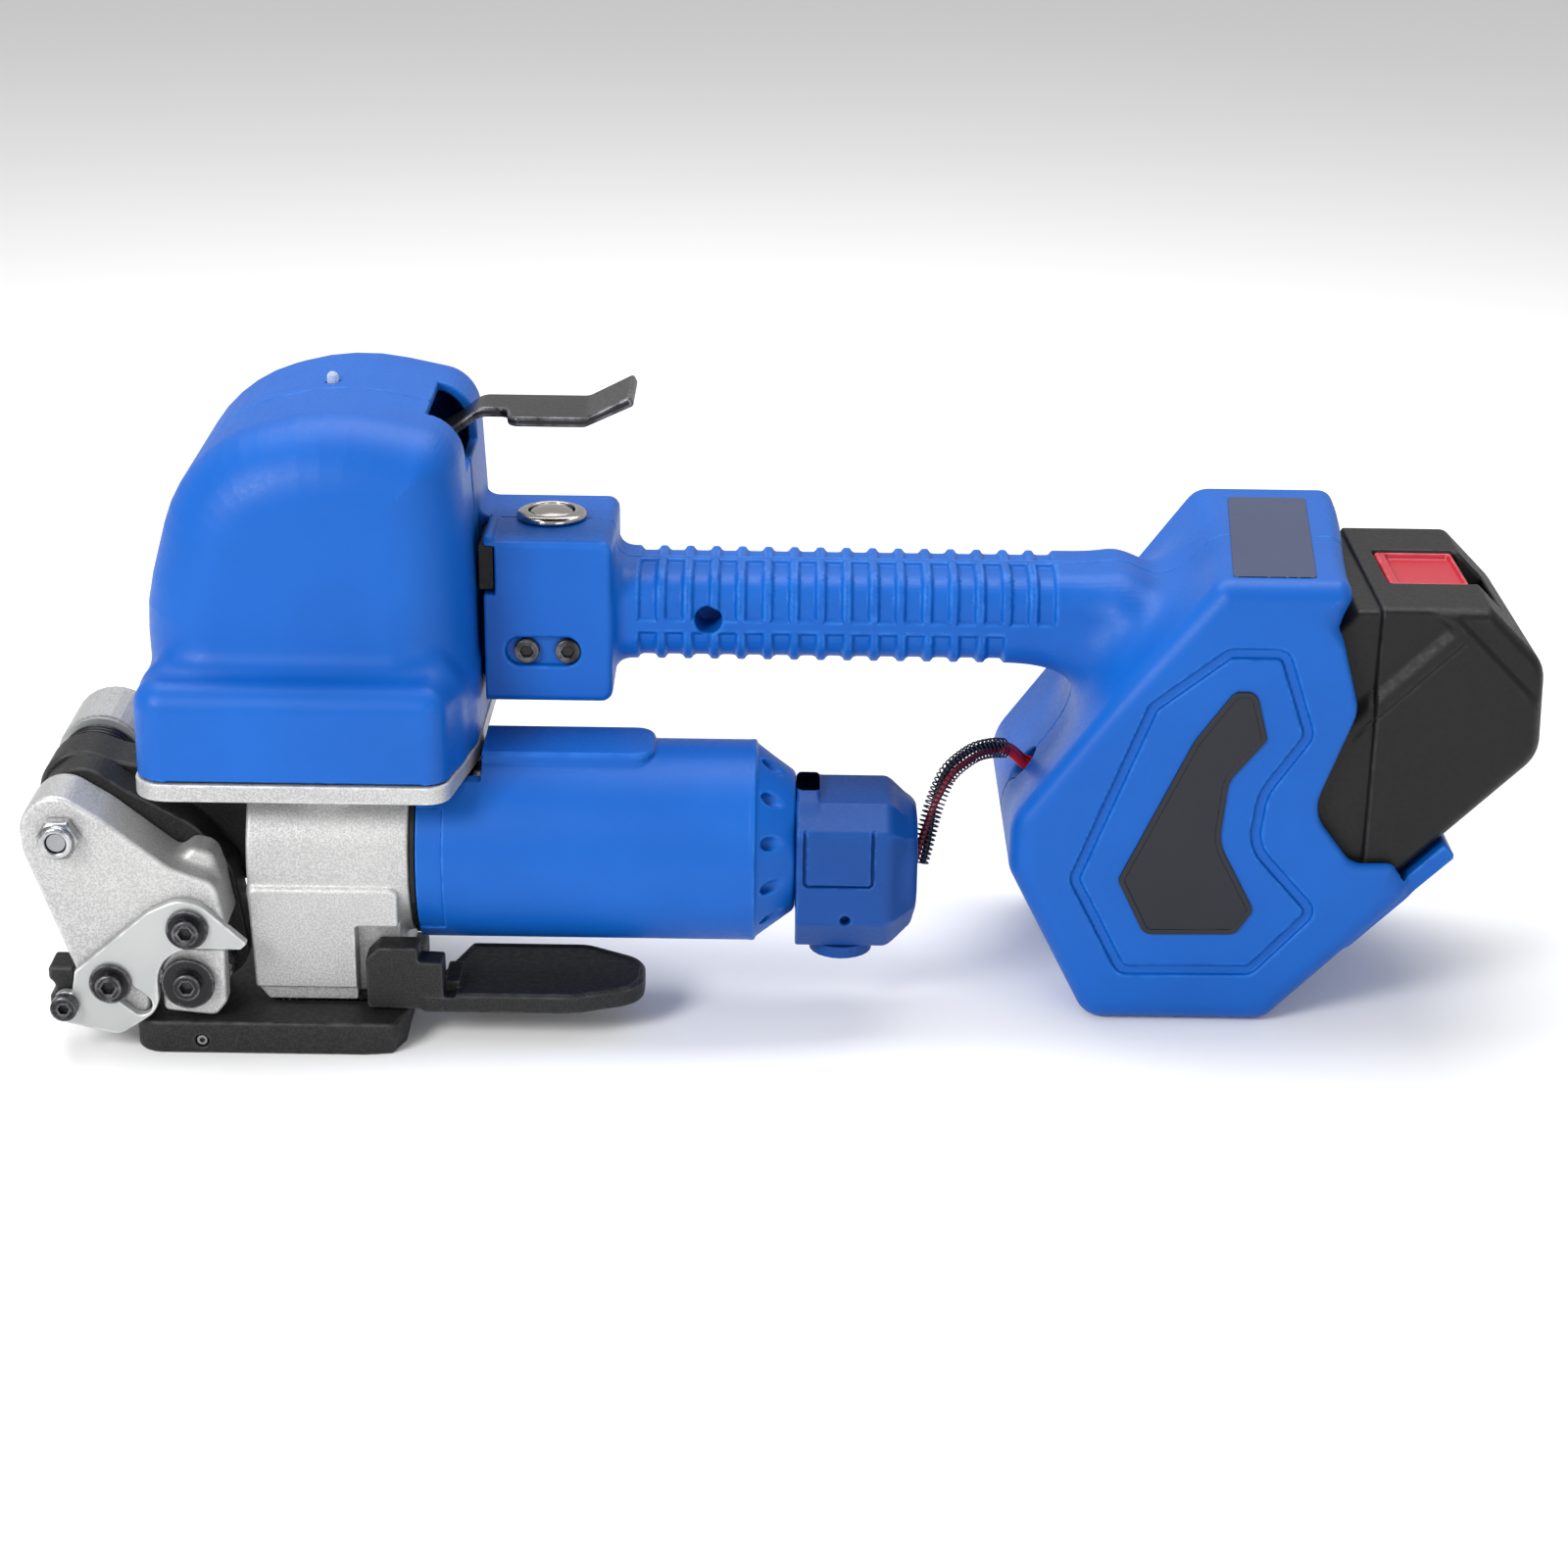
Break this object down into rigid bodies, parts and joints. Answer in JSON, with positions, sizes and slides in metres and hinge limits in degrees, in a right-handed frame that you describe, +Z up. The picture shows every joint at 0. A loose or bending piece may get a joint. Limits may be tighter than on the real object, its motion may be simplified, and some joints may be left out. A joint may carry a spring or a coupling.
{
  "type": "battery strapping tool",
  "caption": "Hand-held battery tool that tensions plastic strap with a toothed wheel and friction-welds it, with a ribbed handle and slide-in battery.",
  "frame": {"origin": "middle of the tool's outer box, on the surface it stands on", "axes": "+X from the tension head to the battery, +Z up, the operator's side towards -Y"},
  "size_m": [0.376, 0.112, 0.158],
  "materials": {
    "blue_plastic": "satin fine grain",
    "cast_aluminium": "sand-blasted casting",
    "guide_plate_steel": "satin sheet",
    "black_steel": "black oxide, fine grain",
    "black_plastic": "fine texture",
    "chrome_trim": "polished",
    "clear_lens": "clear",
    "red_plastic": "semi-gloss",
    "circuit_board": "solder mask",
    "bronze": "machined",
    "machined_steel": "machined"
  },
  "bodies": {
    "frame": {"hood_front_cover": "blue_plastic", "rear_shell": "blue_plastic", "front_shell": "blue_plastic", "nameplate": "black_plastic", "status_led": "clear_lens", "button_bezel": "chrome_trim", "switch_body": "black_plastic", "block_screw_1": "black_steel", "block_screw_2": "black_steel", "head_plate": "cast_aluminium", "gearbox_housing": "cast_aluminium", "base_foot": "black_steel", "foot_grub_screw": "machined_steel", "strap_anvil": "machined_steel", "worm_housing": "black_steel", "barrel_seal": "black_plastic", "motor_tube": "blue_plastic", "motor_end_cap": "blue_plastic", "end_cap_panel": "blue_plastic", "end_cap_plug": "blue_plastic", "tension_motor": "machined_steel", "weld_motor": "machined_steel", "control_board": "circuit_board", "motor_lead_guard": "black_steel", "lead_sleeve_1": "red_plastic", "lead_sleeve_2": "red_plastic", "pivot_shaft": "machined_steel", "pivot_nut": "machined_steel", "arm_torsion_spring": "black_steel", "spring_washer": "machined_steel", "spring_cap": "cast_aluminium", "rocker_pin": "machined_steel", "weld_lever_pin": "machined_steel", "battery_dock": "black_plastic"},
    "arm": {"tension_arm": "cast_aluminium", "arm_gear_case": "black_steel", "strap_guide_plate": "guide_plate_steel", "guide_screw_upper": "black_steel", "guide_screw_lower": "black_steel", "corner_screw": "black_steel", "guide_stop": "black_steel", "presser_screw": "black_steel"},
    "presser": {"strap_presser": "cast_aluminium", "presser_spring": "machined_steel"},
    "wheel": {"tension_wheel": "machined_steel"},
    "idler_1": {"idler_gear_1": "machined_steel"},
    "idler_2": {"idler_gear_2": "machined_steel"},
    "worm_wheel": {"worm_wheel": "bronze"},
    "drive_worm": {"drive_worm": "machined_steel"},
    "weld_eccentric": {"weld_eccentric": "machined_steel"},
    "weld_jaw": {"weld_jaw": "black_steel"},
    "weld_lever": {"weld_lever": "black_steel"},
    "button": {"button_cap": "machined_steel"},
    "rocker_lever": {"rocker_lever": "black_steel"},
    "battery": {"battery_case": "black_plastic", "battery_terminals": "bronze"},
    "battery_latch": {"battery_latch": "red_plastic"}
  },
  "joints": [
    {"name": "motor_spin", "type": "hinge", "parent": "frame", "child": "drive_worm", "pos_m": [-0.12047, -0.01595, 0.0447], "axis": [1, 0, 0], "continuous": true},
    {"name": "worm_wheel_spin", "type": "hinge", "parent": "frame", "child": "worm_wheel", "pos_m": [-0.17647, -0.02795, 0.0575], "axis": [0, 1, 0], "continuous": true},
    {"name": "idler_1_spin", "type": "hinge", "parent": "arm", "child": "idler_1", "pos_m": [-0.1667, -0.02795, 0.0446], "axis": [0, 1, 0], "continuous": true},
    {"name": "idler_2_spin", "type": "hinge", "parent": "arm", "child": "idler_2", "pos_m": [-0.15693, -0.02795, 0.0317], "axis": [0, 1, 0], "continuous": true},
    {"name": "wheel_spin", "type": "hinge", "parent": "arm", "child": "wheel", "pos_m": [-0.14717, -0.03795, 0.0188], "axis": [0, 1, 0], "continuous": true},
    {"name": "rocker_squeeze", "type": "hinge", "parent": "frame", "child": "rocker_lever", "pos_m": [-0.09847, -0.03795, 0.0195], "axis": [0, -1, 0], "range_deg": [0, 4.5], "stiffness_Nm_per_rad": 4, "springref_deg": -5.73},
    {"name": "arm_lift", "type": "hinge", "parent": "frame", "child": "arm", "pos_m": [-0.17647, -0.02795, 0.0575], "axis": [0, -1, 0], "range_deg": [0, 4], "stiffness_Nm_per_rad": 4, "springref_deg": -5.73},
    {"name": "presser_swing", "type": "hinge", "parent": "arm", "child": "presser", "pos_m": [-0.14717, -0.04595, 0.0188], "axis": [0, -1, 0], "range_deg": [0, 8], "stiffness_Nm_per_rad": 0.5, "springref_deg": -5.73},
    {"name": "weld_eccentric_spin", "type": "hinge", "parent": "frame", "child": "weld_eccentric", "pos_m": [-0.11407, -0.01595, 0.06], "axis": [0, 0, 1], "continuous": true},
    {"name": "weld_jaw_vibration", "type": "slide", "parent": "frame", "child": "weld_jaw", "axis": [0, 1, 0], "range_m": [-0.0012, 0.0012], "stiffness_N_per_m": 2000},
    {"name": "weld_lever_press", "type": "hinge", "parent": "frame", "child": "weld_lever", "pos_m": [-0.09647, 0.01205, 0.139], "axis": [0, 1, 0], "range_deg": [0, 12], "stiffness_Nm_per_rad": 2, "springref_deg": -2.86},
    {"name": "button_press", "type": "slide", "parent": "frame", "child": "button", "axis": [0, 0, -1], "range_m": [0, 0.0015], "stiffness_N_per_m": 600, "springref_m": -0.0005},
    {"name": "battery_slide", "type": "slide", "parent": "frame", "child": "battery", "axis": [0.7071, 0, 0.7071], "range_m": [0, 0.11]},
    {"name": "battery_latch_press", "type": "slide", "parent": "battery", "child": "battery_latch", "axis": [0, 0, -1], "range_m": [0, 0.0025], "stiffness_N_per_m": 600, "springref_m": -0.0005}
  ],
  "couplings": [
    {"joint": "worm_wheel_spin", "follows": "motor_spin", "ratio": 0.11111},
    {"joint": "idler_1_spin", "follows": "motor_spin", "ratio": -0.11111},
    {"joint": "idler_2_spin", "follows": "motor_spin", "ratio": 0.11111},
    {"joint": "wheel_spin", "follows": "motor_spin", "ratio": -0.11111},
    {"joint": "arm_lift", "follows": "rocker_squeeze", "ratio": 0.88889}
  ]
}
